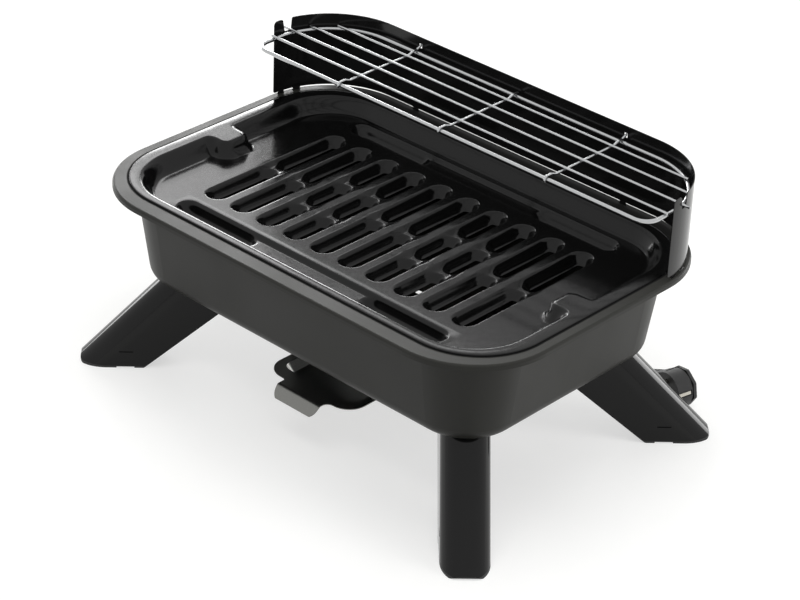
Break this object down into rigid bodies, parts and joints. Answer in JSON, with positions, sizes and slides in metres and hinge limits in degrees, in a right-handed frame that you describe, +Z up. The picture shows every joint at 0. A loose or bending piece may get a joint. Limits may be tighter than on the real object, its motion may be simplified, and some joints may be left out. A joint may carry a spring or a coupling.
{
  "type": "electric barbecue grill",
  "caption": "Tabletop electric grill: deep basin on splayed legs, slotted enamel plate, U-shaped windshield with wire warming rack, drip tray and mains cord",
  "frame": {"origin": "on the ground under the middle of the basin's rim", "axes": "+X along the long side to the right, -Y to the front, +Z up"},
  "size_m": [0.5146, 0.4759, 0.272],
  "materials": {
    "basin_paint": "satin",
    "enamel": "gloss",
    "shield_paint": "semi gloss",
    "chromed_wire": "polished",
    "leg_gloss": "semi gloss",
    "foot_plastic": "matte",
    "tray_steel": "bright sheet",
    "zinc_steel": "zinc plated",
    "element_steel": "heat darkened",
    "black_plastic": "fine grain",
    "cream_plastic": "moulded",
    "red_lens": "clear red",
    "cord_rubber": "satin",
    "pin_metal": "nickel plated"
  },
  "bodies": {
    "base": {"basin": "basin_paint", "leg_front_left": "leg_gloss", "leg_front_right": "leg_gloss", "leg_rear_left": "leg_gloss", "leg_rear_right": "leg_gloss", "foot_front_left": "foot_plastic", "foot_front_right": "foot_plastic", "foot_rear_left": "foot_plastic", "foot_rear_right": "foot_plastic", "leg_screws": "zinc_steel", "tray_rail_left": "zinc_steel", "tray_rail_right": "zinc_steel", "rail_rivets": "zinc_steel", "heating_element": "element_steel", "element_support_left": "tray_steel", "element_support_right": "tray_steel", "control_housing": "black_plastic", "housing_screws": "zinc_steel", "thermostat": "cream_plastic", "indicator_lens": "red_lens", "terminal_block": "cream_plastic", "inner_wires": "cord_rubber", "cord_strain_relief": "cord_rubber", "cord_lead": "cord_rubber", "cord_coil": "cord_rubber", "cord_tail": "cord_rubber", "cord_tie": "black_plastic", "plug_body": "cord_rubber", "plug_pins": "pin_metal", "plug_earth_clips": "pin_metal"},
    "plate": {"grill_plate": "enamel"},
    "windshield": {"windshield": "shield_paint"},
    "rack": {"rack_frame": "chromed_wire", "rack_long_wires": "chromed_wire", "rack_cross_wires": "chromed_wire"},
    "tray": {"drip_tray": "tray_steel"},
    "knob": {"control_knob": "black_plastic", "thermostat_shaft": "zinc_steel"}
  },
  "joints": [
    {"name": "plate_lift", "type": "slide", "parent": "base", "child": "plate", "axis": [0, 0, 1], "range_m": [0, 0.055]},
    {"name": "windshield_lift", "type": "slide", "parent": "base", "child": "windshield", "axis": [0, 0, 1], "range_m": [0, 0.09]},
    {"name": "rack_tilt", "type": "hinge", "parent": "windshield", "child": "rack", "pos_m": [0, 0.1636, 0.2631], "axis": [-1, 0, 0], "range_deg": [0, 35]},
    {"name": "tray_slide", "type": "slide", "parent": "base", "child": "tray", "axis": [0, -1, 0], "range_m": [0, 0.13]},
    {"name": "knob_turn", "type": "hinge", "parent": "base", "child": "knob", "pos_m": [0.03, 0.165, 0.131], "axis": [0, -1, 0], "range_deg": [0, 270]}
  ]
}
